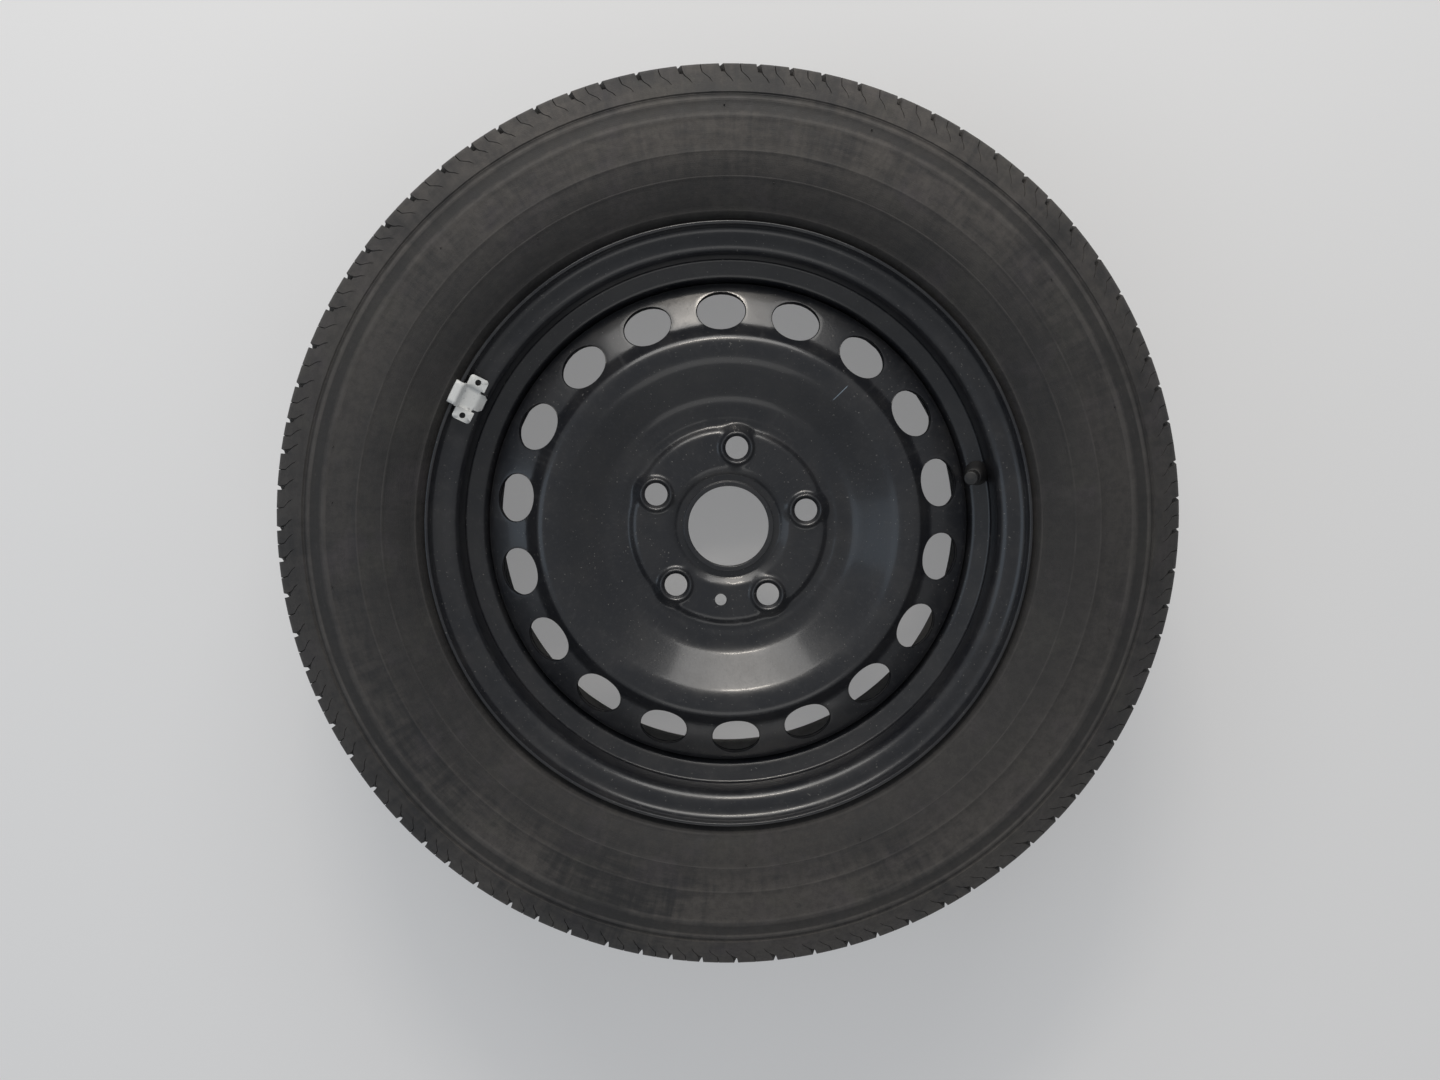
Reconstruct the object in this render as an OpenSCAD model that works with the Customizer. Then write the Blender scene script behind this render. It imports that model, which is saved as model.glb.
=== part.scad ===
// A steel spare wheel with its tyre, lying on its inner side with the outer face up.
// The origin is the centre of the hub face, and +Z runs out along the axle.

/* [Rim] */
// Diameter of the bead seats, at the heels
bead_seat_d = 380.2; // [360:0.1:400]
// Width between the flat faces of the two flanges
rim_w = 152.4; // [146:0.1:165]
// Thickness of the rolled rim sheet
rim_sheet = 2.4; // [2:0.1:3]
// Height of the flanges over the bead seats
flange_h = 17.5; // [16:0.1:19]
// Radius of the flange's rolled curl, on the tyre's side
curl_r = 9.5; // [8.5:0.1:10.5]
// How far the lip of the curl reaches past the flange's flat face
lip_reach = 12.8; // [11.5:0.1:15]
// Radius of the heel between flange and bead seat
heel_r = 6.5; // [5.5:0.1:7.5]
// Slope of the bead seats in degrees
seat_taper = 5; // [3:0.5:7]
// Length of a bead seat along the axle, up to the foot of its hump
seat_l = 18.4; // [18:0.1:20]
// Height of the safety hump over its foot
hump_h = 1.4; // [1:0.1:2]
// Width of the hump from foot to crest
hump_w = 6.6; // [5.5:0.1:8]
// Depth of the well under the bead seats
well_depth = 17.3; // [15:0.1:20]
// Length of the well's floor along the axle
well_l = 46.2; // [42:0.1:50]
// Lean of the well's outer wall from square to the axle in degrees
well_lean = 19.3; // [12:0.1:25]
// Length along the axle of the slope behind the well
well_slope_l = 26; // [22:0.1:28]
// Depth of the rear ledge under the bead seats
ledge_depth = 2.7; // [2:0.1:4]

/* [Disc] */
// Distance from the hub face in to the middle plane of the rim
wheel_offset = 47; // [43:0.5:50]
// Thickness of the pressed disc sheet
disc_sheet = 3.5; // [3:0.1:4]
// Diameter of the centre bore
bore_d = 57.1; // [54:0.1:60]
// Height of the collar round the bore over the hub face
collar_h = 8; // [7:0.1:9]
// Diameter of the circle through the wheel bolts
bolt_circle_d = 112; // [110:0.1:114.3]
// Number of wheel bolts
bolt_count = 5; // [4:1:6]
// Diameter of the holes for the wheel bolts
bolt_hole_d = 15.5; // [14:0.1:16.5]
// Direction of the first bolt hole, seen from outside, in degrees
bolt_angle = 12; // [0:1:71]
// Radius of the ball seats for the bolt heads
ball_seat_r = 13; // [12:0.5:14]
// Width of the ball seats at their crests
ball_seat_w = 20.4; // [19:0.1:21]
// Height of the raised ring that carries the bolts, over the hub face
plateau_h = 4.2; // [3.5:0.1:5]
// Height of each bolt boss over the raised ring
boss_h = 3; // [2:0.1:4]
// Diameter of the small locating hole between two bolts
locating_hole_d = 7.8; // [6:0.1:9]
// Distance of the locating hole from the axle
locating_hole_r = 52.8; // [50:0.1:56]
// Distance of the crown of the disc from the axle
crown_r = 129; // [126:0.5:132]
// Height of the crown's inner face over the hub face
crown_h = 26.5; // [22:0.5:30]
// Number of vent holes
vent_count = 18; // [12:1:18]
// Diameter of the vent holes
vent_d = 34; // [28:0.5:35]
// Distance of the vent holes' centres from the axle
vent_circle_r = 151; // [149:0.5:152.5]
// Fall of the vented skirt outwards in degrees
skirt_fall = 25; // [20:0.5:30]
// Depth behind the hub face that the disc's flange reaches
flange_depth = 34; // [28:0.5:40]
// Number of weld seams between disc and rim
weld_count = 6; // [4:1:8]
// Leg of each weld seam
weld_leg = 4; // [3:0.1:5]
// Part of the circle that one weld seam covers in degrees
weld_arc = 34; // [20:1:40]

/* [Tyre] */
// Diameter over the tread
tyre_d = 634.5; // [620:0.5:650]
// Width over the sidewalls
tyre_w = 201; // [196:0.5:206]
// Distance of the widest place from the axle
widest_r = 251; // [247:0.5:255]
// Width of the tread, edge to edge before rounding
tread_w = 156; // [150:0.5:160]
// Radius across the tread's crown
tread_crown_r = 600; // [450:5:900]
// Radius of the tread's shoulders
shoulder_r = 11; // [8:0.5:13]
// Thickness of the tread with the liner under it
tread_t = 16.5; // [15:0.1:18]
// Thickness of the sidewall at the widest place
sidewall_t = 5.5; // [5:0.1:7]
// Depth of the grooves round the tread
groove_depth = 7.6; // [6:0.1:8]
// Width of the grooves round the tread
groove_w = 10; // [7:0.5:11]
// Distance of the inner pair of grooves from the middle
inner_groove_s = 17; // [15:0.5:19]
// Distance of the outer pair of grooves from the middle
outer_groove_s = 49; // [46:0.5:51]
// Number of times that the sequence of block pitches repeats
pitch_repeats = 6; // [4:1:7]
// Width of the grooves across the shoulders
notch_w = 3.2; // [2:0.1:4.5]
// Depth of the grooves across the shoulders
notch_depth = 6.8; // [5:0.1:7.4]
// Slant of the grooves across the shoulders in degrees
notch_slant = 7; // [0:1:12]
// Distance down from the tread to the foot of the shoulder blocks
shoulder_drop = 27.7; // [26:0.1:30]
// Height of the step at the foot of the shoulder blocks
shoulder_step = 0.9; // [0.5:0.1:1.5]

/* [Valve] */
// Direction of the valve, seen from outside, in degrees
valve_angle = 12; // [0:1:140]
// Distance of the valve hole from the axle
valve_r = 180.5; // [179:0.1:183]
// Diameter of the valve hole in the rim
valve_hole_d = 11.5; // [11:0.1:11.8]
// Length of the rubber body outside the rim
rubber_l = 22; // [19:0.5:25]
// Length of the brass stem that stands out of the rubber
thread_l = 9.5; // [9:0.1:11]
// Outer diameter of the brass stem
stem_d = 7.7; // [7.3:0.1:8]
// Diameter of the threaded core chamber in the stem
chamber_d = 5.2; // [5:0.1:5.6]
// Length of the valve cap
cap_l = 12.3; // [12:0.1:14]
// Outer diameter of the valve cap
cap_d = 9.8; // [9.6:0.1:10.6]
// Number of grip flutes round the cap
cap_flutes = 12; // [8:1:16]
// Diameter of the valve core's pin
pin_d = 1; // [0.8:0.05:1.1]
// Inward travel of the valve core's pin
pin_travel = 1.2; // [0.8:0.1:1.5]
// Wire of the valve core's spring
spring_wire_d = 0.28; // [0.2:0.01:0.32]
// Turns of the valve core's spring
spring_turns = 5; // [4:1:7]

/* [Balance weight] */
// Direction of the balance weight, seen from outside, in degrees
weight_angle = 153; // [145:1:175]
// Thickness of the folded weight's sheet
weight_sheet = 2.2; // [1.6:0.1:2.5]
// Length of the weight's hook along the lip
hook_l = 16; // [12:0.5:18]
// Length of the weight's channel along the lip
channel_l = 17; // [15:0.5:20]
// Width of the two ears, in towards the axle
ear_w = 13; // [11:0.5:14]
// Length of each ear along the lip
ear_l = 7.6; // [6:0.1:9]
// Diameter of the hole in each ear
ear_hole_d = 4.2; // [3:0.1:5]

/* [Hidden] */
$fn = 96;

steel_black = [0.06, 0.065, 0.075];
weld_black = [0.08, 0.08, 0.085];
tyre_black = [0.13, 0.125, 0.12];
valve_black = [0.05, 0.05, 0.05];
brass = [0.72, 0.58, 0.3];
seal_red = [0.6, 0.12, 0.08];
spring_steel = [0.7, 0.7, 0.72];
weight_grey = [0.74, 0.75, 0.73];

// Degrees between the points of a bend, and between those of a tyre's long curves
bend_step = 10;
curve_step = 6;

function unit(v) = v / norm(v);
function turn_of(a, b, c) = sign((b.x - a.x) * (c.y - b.y) - (b.y - a.y) * (c.x - b.x));
function reversed(list) = [for (i = [len(list) - 1:-1:0]) list[i]];

// Points of an arc about c with radius r, from angle a to angle b
function arc(c, r, a, b, step) =
  let (n = max(1, ceil(abs(b - a) / step)))
  [for (i = [0:n]) c + r * [cos(a + (b - a) * i / n), sin(a + (b - a) * i / n)]];

// The corner at b between a and c, rounded with radius r, and moved d to the left of the path
function corner(a, b, c, r, d = 0) =
  let (
    back = unit(a - b),
    ahead = unit(c - b),
    half = acos(max(-1, min(1, back * ahead))) / 2,
    middle = b + unit(back + ahead) * r / sin(half),
    reach = r / tan(half),
    first = r > 0 ? b + back * reach - middle : [-back.y, back.x] * turn_of(a, b, c),
    last = r > 0 ? b + ahead * reach - middle : [ahead.y, -ahead.x] * turn_of(a, b, c),
    from = atan2(first.y, first.x),
    turn = (atan2(last.y, last.x) - from + 540) % 360 - 180,
    radius = r - d * turn_of(a, b, c)
  )
  abs(radius) < 0.001 ? [middle] : arc(middle, radius, from, from + turn, bend_step);

// One side of a bent sheet: the path with its corners rounded, moved d to its left.
// Each path entry is [x, y, radius], and the two ends have no radius.
function side(path, d) =
  let (
    p = [for (v = path) [v.x, v.y]],
    n = len(p),
    start = unit(p[1] - p[0]),
    stop = unit(p[n - 1] - p[n - 2])
  )
  concat(
    [p[0] + d * [-start.y, start.x]],
    [for (i = [1:n - 2]) each corner(p[i - 1], p[i], p[i + 1], path[i][2], d)],
    [p[n - 1] + d * [-stop.y, stop.x]]
  );

// A closed outline of a sheet of thickness t laid to the left of its path
function sheet(path, t) = concat(side(path, 0), reversed(side(path, t)));

// A closed outline with every corner rounded; each entry is [x, y, radius]
function outline(path) =
  let (p = [for (v = path) [v.x, v.y]], n = len(p))
  [for (i = [0:n - 1]) each corner(p[(i + n - 1) % n], p[i], p[(i + 1) % n], path[i][2])];

// Rim section: x is the distance from the axle, y the height over the hub face
bead_r = bead_seat_d / 2;
lip_r = bead_r + flange_h;
well_r = bead_r - well_depth;
mid_z = -wheel_offset;
flange_z = mid_z + rim_w / 2;
lip_z = flange_z + lip_reach;
hump_foot = [bead_r - seat_l * tan(seat_taper), flange_z - seat_l];
hump_top = hump_foot + [hump_h, -hump_w];
well_top_z = hump_top.y - (hump_top.x - well_r) * tan(well_lean);
well_end_z = well_top_z - well_l;
well_fillet_r = 7;
hump_foot_r = 6;
hump_top_r = 5;

function behind(p) = [p.x, 2 * mid_z - p.y];

front_half = [
  [lip_r, lip_z, 0],
  [lip_r, flange_z, curl_r],
  [bead_r, flange_z, heel_r],
  [hump_foot.x, hump_foot.y, hump_foot_r],
  [hump_top.x, hump_top.y, hump_top_r],
  [well_r, well_top_z, well_fillet_r]
];
rear_ledge = [
  [well_r, well_end_z, well_fillet_r],
  [bead_r - ledge_depth, well_end_z - well_slope_l, 2 * well_fillet_r],
  [bead_r - ledge_depth + 0.4, behind(hump_top).y + hump_w, hump_foot_r]
];
rear_half = [for (i = [4:-1:0]) [front_half[i].x, behind(front_half[i]).y, front_half[i][2]]];
rim_path = concat(front_half, rear_ledge, rear_half);
// The sheet lies on the axle's side of its path, so the path itself is the tyre's side.
rim_outline = concat(side(rim_path, 0), reversed(side(rim_path, -rim_sheet)));

// Disc section: the path is the inner face, and the sheet lies on its outer side
bore_r = bore_d / 2;
bolt_r = bolt_circle_d / 2;
disc_flange_r = well_r - rim_sheet - disc_sheet;
plateau_in_r = bolt_r - 12;
plateau_out_r = bolt_r + 9;
ring_step_h = 1.4;
bowl_foot_r = bolt_r + 33;
bowl_top = [crown_r - 10, crown_h - 1.5];
skirt_top = [crown_r + 9.5, crown_h - 10.7];
skirt_end_z = skirt_top.y - (disc_flange_r - skirt_top.x) * tan(skirt_fall);
soft_r = disc_sheet + 2.5;
bore_bend_r = disc_sheet + 0.5;
disc_path = [
  [bore_r, collar_h, 0],
  [bore_r, 0, bore_bend_r],
  [plateau_in_r - 6.5, 0, soft_r],
  [plateau_in_r, plateau_h, 2.5],
  [plateau_out_r, plateau_h, 2.5],
  [plateau_out_r + 5, 0, soft_r],
  [plateau_out_r + 11, 0, soft_r],
  [plateau_out_r + 13.6, ring_step_h, 3],
  [bowl_foot_r, ring_step_h, 22],
  [bowl_top.x, bowl_top.y, 18],
  [crown_r + 0.5, crown_h, soft_r],
  [skirt_top.x, skirt_top.y, 14],
  [disc_flange_r, skirt_end_z, 3],
  [disc_flange_r, -flange_depth, 0]
];
disc_outline = sheet(disc_path, disc_sheet);

// Bolt bosses, about their own axes: crest, foot and the hollow behind
plateau_top = plateau_h + disc_sheet;
boss_top = plateau_top + boss_h;
boss_crest_r = ball_seat_w / 2 + 0.7;
boss_slope = 0.9;
boss_foot_r = boss_crest_r + (boss_top - disc_sheet) * boss_slope;
hollow_top = boss_top - disc_sheet - 2;
hollow_r = boss_crest_r - 1.2;
ball_z = boss_top + sqrt(ball_seat_r * ball_seat_r - ball_seat_w * ball_seat_w / 4);

// Vent holes: the axis is square to the skirt
vent_z = skirt_top.y - (vent_circle_r - skirt_top.x) * tan(skirt_fall);

// Tyre section: x is the distance from the axle, y the distance from the middle plane
tyre_r = tyre_d / 2;
half_w = tyre_w / 2;
toe_l = 17;
// The tyre's bead follows the rim's own points, up to five ninths of the curl
function to_middle(p) = [p.x, p.y - mid_z];
rim_points = [for (v = rim_path) [v.x, v.y]];
curl_points = corner(rim_points[0], rim_points[1], rim_points[2], curl_r);
heel_points = corner(rim_points[1], rim_points[2], rim_points[3], heel_r);
curl_steps = len(curl_points) - 1;
curl_held = round(curl_steps * 5 / 9);
toe = [bead_r - toe_l * tan(seat_taper), rim_w / 2 - toe_l];
bead_points = concat(
  [toe],
  [for (p = reversed(heel_points)) to_middle(p)],
  [for (i = [curl_steps:-1:curl_steps - curl_held]) to_middle(curl_points[i])]
);

function crown_at(s) = tyre_r - tread_crown_r + sqrt(tread_crown_r * tread_crown_r - s * s);

// The arc that starts square to the axle at the widest point and ends at another point,
// and its radius
function bulge_r(widest, end) =
  (pow(end.x - widest.x, 2) + pow(widest.y - end.y, 2)) / (2 * (widest.y - end.y));
function bulge(widest, end) =
  let (
    r = bulge_r(widest, end),
    middle = widest - [0, r],
    last = atan2(end.y - middle.y, end.x - middle.x)
  )
  arc(middle, r, 90, last < -90 ? last + 360 : last, curve_step);

// The sidewall clears the lip and the balance weight's hook on it
lip_gap = weight_sheet + 0.8;
lip_dip = 4.3;
upper_fall = 0.226;
block_face_h = 10.4;
widest = [widest_r, half_w];
sidewall_foot = [lip_r + lip_gap, lip_z - mid_z - lip_dip];
step_r = tyre_r - shoulder_drop;
block_foot = [step_r, half_w - (step_r - widest_r) * upper_fall];
block_end = [step_r + block_face_h, (block_foot.y + tread_w / 2) / 2 + 2.1];

// Raised rings on the sidewall: each place is a share of the way from its foot to the widest
// point, or past 1 from there to the foot of the blocks
ring_places = [0.16, 0.52, 0.925, 1.65];
upper_l = step_r - widest_r;
ring_w = upper_l / 18;
ring_h = ring_w * 0.3;
function ring_r(place) =
  widest_r + (place - 1) * (place < 1 ? widest_r - sidewall_foot.x : upper_l);
function sidewall_at(r) =
  let (end = r < widest_r ? sidewall_foot : block_foot, bend = bulge_r(widest, end))
  half_w - bend + sqrt(bend * bend - pow(r - widest_r, 2));
function ring(place) = [
  for (e = [[-1, 0], [-0.6, 1], [0.6, 1], [1, 0]])
    let (r = ring_r(place) + e.x * ring_w / 2) [r, sidewall_at(r) + e.y * ring_h]
];
sidewall = concat(reversed(bulge(widest, sidewall_foot)), bulge(widest, block_foot));
function past_ring(i) = i < 0 ? 0 : ring_r(ring_places[i]) + ring_w / 2;
function before_ring(i) =
  i < len(ring_places) ? ring_r(ring_places[i]) - ring_w / 2 : step_r + 1;
ringed_sidewall = [
  for (i = [0:len(ring_places)])
    each concat(
      [for (p = sidewall) if (p.x > past_ring(i - 1) && p.x < before_ring(i)) p],
      i < len(ring_places) ? ring(ring_places[i]) : []
    )
];
tread_edge = [crown_at(tread_w / 2), tread_w / 2];
outer_groove_edge = outer_groove_s + groove_w / 2;
shoulder_curve = corner(
  block_end, tread_edge, [crown_at(outer_groove_edge), outer_groove_edge], shoulder_r
);

// A groove round the tread at distance s from the middle, with leaning walls
function round_groove(s) = [
  [crown_at(s + groove_w / 2), s + groove_w / 2],
  [crown_at(s) - groove_depth, s + groove_w / 2 - 1.5],
  [crown_at(s) - groove_depth, s - groove_w / 2 + 1.5],
  [crown_at(s - groove_w / 2), s - groove_w / 2]
];
outside_half = concat(
  bead_points, ringed_sidewall, [block_foot + shoulder_step * [0.3, 1], block_end],
  shoulder_curve, round_groove(outer_groove_s),
  [[crown_at((inner_groove_s + outer_groove_s) / 2), (inner_groove_s + outer_groove_s) / 2]],
  round_groove(inner_groove_s), [[tyre_r, 0]]
);

// The inner face, from the toe to the middle of the tread
inner_widest = widest - [0, sidewall_t];
inner_crown = crown_at(0) - tread_t;
inner_fall = 0.295;
inside_foot = sidewall_foot + [4.4, 1.6 - sidewall_t];
inside_end_r = inner_crown - 10.8;
inside_lower = reversed(bulge(inner_widest, inside_foot));
inside_upper = bulge(
  inner_widest, [inside_end_r, inner_widest.y - (inside_end_r - widest_r) * inner_fall]
);
inside_shoulder = corner(
  inside_upper[len(inside_upper) - 1], [inner_crown - 1, tread_w / 2 - 4],
  [inner_crown, tread_w / 4], 14
);
inside_half = concat(
  corner(toe, [toe.x + 1.2, toe.y - 0.8], [bead_r + 10, toe.y + 3.4], 0.8),
  corner([toe.x + 1.2, toe.y - 0.8], [bead_r + 10, toe.y + 3.4], inside_lower[0], 12),
  inside_lower, [for (i = [1:len(inside_upper) - 1]) inside_upper[i]], inside_shoulder,
  [[inner_crown, 0]]
);

function mirrored(list) = [for (p = reversed(list)) [p.x, -p.y]];
function joined(list) =
  [for (i = [0:len(list) - 1]) if (i == 0 || norm(list[i] - list[i - 1]) > 0.001) list[i]];
tyre_outline = joined(
  concat(outside_half, mirrored(outside_half), inside_closed(inside_half))
);
// The inner face runs back from the rear toe to the front one
function inside_closed(half) = concat([for (p = half) [p.x, -p.y]], reversed(half));

// Block pitches round the shoulder: small, middle and large ones in a fixed sequence
pitch_sequence = [0, 1, 2, 1, 0, 0, 1, 2, 2, 1, 0, 1, 2];
pitch_growth = 0.13;
function pitch_size(i) = 1 + pitch_growth * (pitch_sequence[i % len(pitch_sequence)] - 1);
function total(list, n) = n == 0 ? 0 : list[n - 1] + total(list, n - 1);
one_sequence = [for (i = [0:len(pitch_sequence) - 1]) pitch_size(i)];
sequence_turn = 360 / pitch_repeats;
notch_offsets = [
  for (i = [0:len(pitch_sequence) - 1])
    sequence_turn * total(one_sequence, i) / total(one_sequence, len(one_sequence))
];
// Each groove keeps its depth out to the shoulder, and leaves through the side of the block
notch_outline = [
  [tyre_r + 5, outer_groove_s],
  [crown_at(outer_groove_s) - notch_depth, outer_groove_s],
  [crown_at(tread_w / 2) - notch_depth, tread_w / 2],
  [crown_at(tread_w / 2) - notch_depth, half_w + 8],
  [tyre_r + 5, half_w + 8]
];

// Valve: its axis is square to the well's wall; w is the distance out from the rim's face
wall_foot = [valve_r, hump_top.y - (hump_top.x - valve_r) * tan(well_lean)]
  + rim_sheet * [0, 1 / cos(well_lean)];
hole_r = valve_hole_d / 2;
stem_r = stem_d / 2;
chamber_r = chamber_d / 2;
stem_foot = -9;
stem_tip = rubber_l + thread_l;
lower_bore_r = chamber_r - 0.4;
chamber_floor = stem_tip - 8.5;
seat_top = chamber_floor + 2.5;
neck_r = stem_r + 1.5;
pin_r = pin_d / 2;
pin_gap = 0.06;
barrel_r = lower_bore_r - 0.25;
barrel_bore_r = barrel_r - 0.55;
head_foot = seat_top + 0.6;
head_top = stem_tip - 0.5;
barrel_foot = chamber_floor - 4.5;
barrel_floor_t = 0.8;
pin_top = stem_tip - 0.3;
cup_gap = 0.02;
cup_seal_t = 1;
cup_t = 1.4;
cup_top = barrel_foot - cup_gap - cup_seal_t;
pin_foot = cup_top - cup_t - 0.6;
collar_top = head_foot - 0.05;
pin_collar_h = 0.8;
spring_low = barrel_foot + barrel_floor_t;
spring_high = collar_top - pin_collar_h;
spring_r = (pin_r + barrel_bore_r) / 2;
cap_foot = rubber_l + 0.4;
cap_top = cap_foot + cap_l;
cap_clearance = 0.1;
cap_roof = 2;

// Balance weight: a sheet path like the rim's, hooked over the lip
weight_path = [
  [lip_r, lip_z - 4.8, 0],
  [lip_r, lip_z, 0],
  [lip_r - rim_sheet, lip_z, 0],
  [lip_r - rim_sheet - 1.3, lip_z - 4.5, weight_sheet + 1],
  [lip_r - 14.6, lip_z - 7.6, 2.5],
  [lip_r - 18.4, lip_z - 12.2, 0]
];
ear_in_r = lip_r - 17.1;
ear_middle_r = ear_in_r + ear_w / 2;
ear_raise = 1.2;
ear_slope = atan((weight_path[3].y - weight_path[4].y) / (weight_path[3].x - weight_path[4].x));
ear_z = weight_path[4].y + (ear_middle_r - weight_path[4].x) * tan(ear_slope) + ear_raise;

module rim() {
  color(steel_black)
    difference() {
      rotate_extrude() polygon(rim_outline);
      at_valve() translate([0, 0, -3 * rim_sheet]) cylinder(r = hole_r, h = 5 * rim_sheet);
    }
}

// One bolt boss, standing through the sheet
module boss() {
  rotate_extrude()
    polygon(
      concat(
        [[0, disc_sheet - 1.5], [boss_foot_r + 1.35, disc_sheet - 1.5]],
        corner([boss_foot_r, disc_sheet], [boss_crest_r, boss_top], [0, boss_top], 1.2),
        [[0, boss_top]]
      )
    );
}

// The hollow behind a boss, its bolt hole and its ball seat
module boss_hollow() {
  translate([0, 0, -1])
    cylinder(r1 = hollow_r + (hollow_top + 1) * boss_slope, r2 = hollow_r, h = hollow_top + 1);
  cylinder(d = bolt_hole_d, h = boss_top + 1);
  translate([0, 0, ball_z]) sphere(r = ball_seat_r);
}

module at_bolts() {
  for (i = [0:bolt_count - 1])
    rotate([0, 0, bolt_angle + i * 360 / bolt_count]) translate([bolt_r, 0, 0]) children();
}

module disc() {
  color(steel_black)
    difference() {
      union() {
        rotate_extrude() polygon(disc_outline);
        at_bolts() boss();
      }
      at_bolts() boss_hollow();
      rotate([0, 0, bolt_angle - 180 / bolt_count * 3])
        translate([locating_hole_r, 0, -1])
          cylinder(d = locating_hole_d, h = boss_top + 1);
      for (i = [0:vent_count - 1])
        rotate([0, 0, bolt_angle + i * 360 / vent_count])
          translate([vent_circle_r, 0, vent_z])
            rotate([0, skirt_fall, 0])
              translate([0, 0, -4 * disc_sheet]) cylinder(d = vent_d, h = 10 * disc_sheet);
    }
}

module weld_seams() {
  seam_r = disc_flange_r + disc_sheet;
  color(weld_black)
    for (i = [0:weld_count - 1])
      rotate([0, 0, bolt_angle + 30 + i * 360 / weld_count])
        rotate_extrude(angle = weld_arc)
          polygon([
            [seam_r, -flange_depth],
            [seam_r - min(weld_leg, disc_sheet - 0.3), -flange_depth],
            [seam_r - weld_leg * 0.4, -flange_depth - weld_leg * 0.75],
            [seam_r, -flange_depth - weld_leg]
          ]);
}

// One groove across the front shoulder
module notch() {
  pivot = tread_w / 2 - 8;
  translate([0, 0, pivot])
    rotate([notch_slant, 0, 0])
      translate([0, notch_w / 2, -pivot])
        rotate([90, 0, 0]) linear_extrude(notch_w) polygon(notch_outline);
}

module notches() {
  for (k = [0:pitch_repeats - 1], a = notch_offsets)
    rotate([0, 0, k * sequence_turn + a]) notch();
}

module tyre() {
  color(tyre_black)
    translate([0, 0, mid_z])
      difference() {
        rotate_extrude() polygon(tyre_outline);
        notches();
        rotate([180, 0, 0]) rotate([0, 0, pitch_growth * 20]) notches();
      }
}

module at_valve() {
  rotate([0, 0, valve_angle])
    translate([wall_foot.x, 0, wall_foot.y]) rotate([0, -well_lean, 0]) children();
}

// The rim sheet near the valve, without its hole, as the rubber presses on it
module rim_near_valve() {
  rotate([0, 0, valve_angle - 8]) rotate_extrude(angle = 16) polygon(rim_outline);
}

module valve_body() {
  color(valve_black) {
    difference() {
      at_valve()
        rotate_extrude()
          polygon(
            concat(
              [[2.5, -12.5]],
              corner([2.5, -12.5], [6.4, -12.5], [9.4, -6], 1),
              corner([6.4, -12.5], [9.4, -6], [8.8, -1], 1.5),
              [[8.8, 0]],
              corner([8.8, 0], [8, 2.6], [neck_r + 0.9, 9], 1.4),
              [[neck_r + 0.3, 12]],
              corner([neck_r + 0.3, 12], [neck_r, rubber_l], [stem_r, rubber_l], 0.7),
              [[stem_r, rubber_l], [stem_r, stem_foot], [2.5, stem_foot]]
            )
          );
      rim_near_valve();
    }
    at_valve()
      translate([0, 0, -rim_sheet - 1])
        difference() {
          cylinder(r = hole_r, h = rim_sheet + 2);
          translate([0, 0, -1]) cylinder(r = stem_r, h = rim_sheet + 4);
        }
  }
}

module valve_stem() {
  color(brass)
    at_valve()
      rotate_extrude()
        polygon([
          [lower_bore_r, stem_foot], [stem_r, stem_foot], [stem_r, stem_tip - 0.6],
          [stem_r - 0.6, stem_tip], [chamber_r, stem_tip], [chamber_r, seat_top],
          [lower_bore_r, chamber_floor]
        ]);
}

module core_head() {
  color(brass)
    at_valve()
      difference() {
        rotate_extrude()
          polygon([
            [pin_r + pin_gap, head_foot + 1.2], [barrel_bore_r, head_foot],
            [chamber_r, head_foot], [chamber_r, head_top - 1.6],
            [chamber_r - 0.7, head_top], [pin_r + pin_gap, head_top]
          ]);
        for (x = [-1, 1])
          translate([x * (chamber_r + pin_r + 0.6), 0, head_top - 2.6])
            translate([-chamber_r / 1.6, -1.5, 0])
              cube([chamber_r * 1.25, 3, 4]);
      }
}

module core_barrel() {
  color(brass)
    at_valve()
      rotate_extrude()
        polygon([
          [pin_r + 0.3, barrel_foot], [barrel_r, barrel_foot], [barrel_r, head_foot],
          [barrel_bore_r, head_foot], [barrel_bore_r, spring_low], [pin_r + 0.3, spring_low]
        ]);
}

module core_barrel_seal() {
  color(seal_red)
    at_valve()
      rotate_extrude()
        polygon([
          [barrel_r, chamber_floor + 0.2],
          [lower_bore_r + 0.2 * (chamber_r - lower_bore_r) / 2.5, chamber_floor + 0.2],
          [chamber_r, seat_top], [chamber_r, seat_top + 0.3], [barrel_r, seat_top + 0.3]
        ]);
}

module core_pin() {
  color(brass)
    at_valve()
      rotate_extrude()
        polygon([
          [0, pin_foot], [pin_r + 0.4, pin_foot], [pin_r + 0.4, pin_foot + 0.6],
          [pin_r, pin_foot + 0.6], [pin_r, spring_high],
          [barrel_bore_r - 0.15, spring_high], [barrel_bore_r - 0.15, collar_top],
          [pin_r, collar_top], [pin_r, pin_top - 0.3], [pin_r - 0.2, pin_top], [0, pin_top]
        ]);
}

module core_cup() {
  color(brass)
    at_valve()
      rotate_extrude()
        polygon([
          [pin_r, cup_top - cup_t], [barrel_r - 0.3, cup_top - cup_t],
          [barrel_r - 0.05, cup_top - cup_t + 0.4], [barrel_r - 0.05, cup_top + 0.5],
          [barrel_r - 0.3, cup_top + 0.5], [barrel_r - 0.3, cup_top - 0.6],
          [pin_r, cup_top - 0.6]
        ]);
}

module core_cup_seal() {
  color(seal_red)
    at_valve()
      translate([0, 0, cup_top - 0.6])
        difference() {
          cylinder(r = barrel_r - 0.3, h = cup_seal_t + 0.6);
          translate([0, 0, -1]) cylinder(r = pin_r, h = cup_seal_t + 3);
        }
}

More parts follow.
